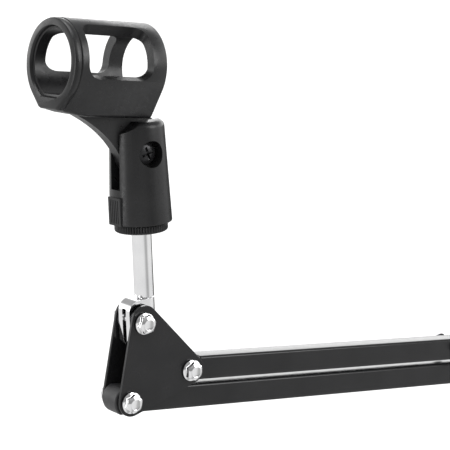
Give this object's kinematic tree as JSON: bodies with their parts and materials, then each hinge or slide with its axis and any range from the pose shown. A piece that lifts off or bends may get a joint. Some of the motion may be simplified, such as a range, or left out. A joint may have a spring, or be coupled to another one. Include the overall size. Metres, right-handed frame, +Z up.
{
  "type": "boom microphone stand",
  "caption": "Desk-clamped scissor boom arm with parallel bars, balancing springs and a tilting ring clip that holds a hand microphone.",
  "frame": {"origin": "centre of the clamp's upper jaw pad, on the face that bears on the desk, under the swivel post", "axes": "+Z up along the swivel post, -X towards the microphone clip at rest, Y across the arm"},
  "size_m": [0.3925, 0.0439, 0.7176],
  "materials": {
    "black_paint": "semi-gloss black powder coat",
    "chrome": "bright chrome plate",
    "zinc": "zinc plate",
    "spring_steel": "blackened steel",
    "moulded_black": "fine moulded texture",
    "rubber": "matt",
    "brass": "machined",
    "nylon": "plain"
  },
  "bodies": {
    "clamp": {"clamp_frame": "black_paint", "clamp_jaw_pad": "rubber", "socket_bush": "nylon"},
    "clamp_press": {"clamp_press_plate": "zinc", "clamp_press_pad": "rubber"},
    "clamp_screw": {"clamp_screw": "zinc", "clamp_knob": "moulded_black"},
    "post_lock": {"post_lock_screw": "moulded_black"},
    "base": {"base_post": "zinc", "base_plate_near": "black_paint", "base_plate_far": "black_paint", "base_bolt_front": "chrome", "base_bolt_rear": "chrome", "base_bolt_post": "chrome", "base_spring_stud_near": "zinc", "base_spring_stud_far": "zinc"},
    "lower_arm_front": {"lower_bar_front": "black_paint", "lower_bar_front_plug_lower": "moulded_black", "lower_bar_front_plug_upper": "moulded_black", "lower_spring_pin": "zinc"},
    "lower_arm_rear": {"lower_bar_rear": "black_paint", "lower_bar_rear_plug_lower": "moulded_black", "lower_bar_rear_plug_upper": "moulded_black"},
    "lower_springs": {"lower_spring_near": "spring_steel", "lower_spring_far": "spring_steel"},
    "elbow": {"elbow_plate_near": "black_paint", "elbow_plate_far": "black_paint", "elbow_bolt_lower_front": "chrome", "elbow_bolt_lower_rear": "chrome", "elbow_bolt_upper_bottom": "chrome", "elbow_bolt_upper_top": "chrome", "elbow_spring_stud_near": "zinc", "elbow_spring_stud_far": "zinc"},
    "upper_arm_top": {"upper_bar_top": "black_paint", "upper_bar_top_plug_lower": "moulded_black", "upper_bar_top_plug_upper": "moulded_black", "upper_spring_pin": "zinc"},
    "upper_arm_bottom": {"upper_bar_bottom": "black_paint", "upper_bar_bottom_plug_lower": "moulded_black", "upper_bar_bottom_plug_upper": "moulded_black"},
    "upper_springs": {"upper_spring_near": "spring_steel", "upper_spring_far": "spring_steel"},
    "head": {"head_plate_near": "black_paint", "head_plate_far": "black_paint", "head_bolt_bottom": "chrome", "head_bolt_rear": "chrome", "head_bolt_fork": "chrome", "fork_washer_near": "nylon", "fork_washer_far": "nylon"},
    "fork": {"rod_fork": "chrome", "mount_rod": "chrome"},
    "clip_base": {"clip_base": "moulded_black", "knurled_ring": "moulded_black", "thread_insert": "brass", "clip_screw": "spring_steel", "clip_nut": "spring_steel"},
    "clip": {"clip_barrel": "moulded_black"}
  },
  "joints": [
    {"name": "clamp_plate_slide", "type": "slide", "parent": "clamp", "child": "clamp_press", "axis": [0, 0, 1], "range_m": [-0.024, 0.0265]},
    {"name": "clamp_screw_turn", "type": "hinge", "parent": "clamp_press", "child": "clamp_screw", "pos_m": [0, 0, -0.028], "axis": [0, 0, 1], "range_deg": [-4321, 4771]},
    {"name": "post_lock_turn", "type": "hinge", "parent": "clamp", "child": "post_lock", "pos_m": [0, 0, 0.024], "axis": [0, -1, 0], "range_deg": [0, 720]},
    {"name": "base_swivel", "type": "hinge", "parent": "clamp", "child": "base", "pos_m": [0, 0, 0.024], "axis": [0, 0, 1], "continuous": true},
    {"name": "lower_arm_pitch", "type": "hinge", "parent": "base", "child": "lower_arm_front", "pos_m": [-0.012, 0, 0.066], "axis": [0, -1, 0], "range_deg": [0, 60], "deforming": ["lower_spring_near", "lower_spring_far"]},
    {"name": "lower_arm_rear_pitch", "type": "hinge", "parent": "base", "child": "lower_arm_rear", "pos_m": [0.012, 0, 0.066], "axis": [0, -1, 0], "range_deg": [0, 60]},
    {"name": "lower_spring_swing", "type": "hinge", "parent": "base", "child": "lower_springs", "pos_m": [-0.02347, 0, 0.08238], "axis": [0, -1, 0], "range_deg": [-0.1, 65]},
    {"name": "elbow_level", "type": "hinge", "parent": "lower_arm_front", "child": "elbow", "pos_m": [0.14293, 0, 0.35737], "axis": [0, -1, 0], "range_deg": [-60, 0]},
    {"name": "upper_arm_pitch", "type": "hinge", "parent": "elbow", "child": "upper_arm_top", "pos_m": [0.17083, 0, 0.39187], "axis": [0, 1, 0], "range_deg": [-1.5, 80], "deforming": ["upper_spring_near", "upper_spring_far"]},
    {"name": "upper_arm_bottom_pitch", "type": "hinge", "parent": "elbow", "child": "upper_arm_bottom", "pos_m": [0.14093, 0, 0.38437], "axis": [0, 1, 0], "range_deg": [-1.5, 80]},
    {"name": "upper_spring_swing", "type": "hinge", "parent": "elbow", "child": "upper_springs", "pos_m": [0.17222, 0, 0.40781], "axis": [0, 1, 0], "range_deg": [-1.6, 84.1]},
    {"name": "head_level", "type": "hinge", "parent": "upper_arm_top", "child": "head", "pos_m": [-0.1558, 0, 0.43894], "axis": [0, 1, 0], "range_deg": [-80, 1.5]},
    {"name": "fork_tilt", "type": "hinge", "parent": "head", "child": "fork", "pos_m": [-0.1777, 0, 0.46304], "axis": [0, 1, 0], "range_deg": [-60, 60]},
    {"name": "clip_swivel", "type": "hinge", "parent": "fork", "child": "clip_base", "pos_m": [-0.1725, 0, 0.50324], "axis": [0, 0, 1], "continuous": true},
    {"name": "clip_tilt", "type": "hinge", "parent": "clip_base", "child": "clip", "pos_m": [-0.1735, -0.00005, 0.53164], "axis": [-0.0523, 0.9986, 0], "range_deg": [-60, 10]}
  ],
  "couplings": [
    {"joint": "clamp_screw_turn", "follows": "clamp_plate_slide", "rad_per_m": 3141.6},
    {"joint": "lower_arm_rear_pitch", "follows": "lower_arm_pitch", "ratio": 1},
    {"joint": "elbow_level", "follows": "lower_arm_pitch", "ratio": -1},
    {"joint": "lower_spring_swing", "follows": "lower_arm_pitch", "ratio": 1.08},
    {"joint": "upper_arm_bottom_pitch", "follows": "upper_arm_pitch", "ratio": 1},
    {"joint": "head_level", "follows": "upper_arm_pitch", "ratio": -1},
    {"joint": "upper_spring_swing", "follows": "upper_arm_pitch", "ratio": 1.05}
  ]
}
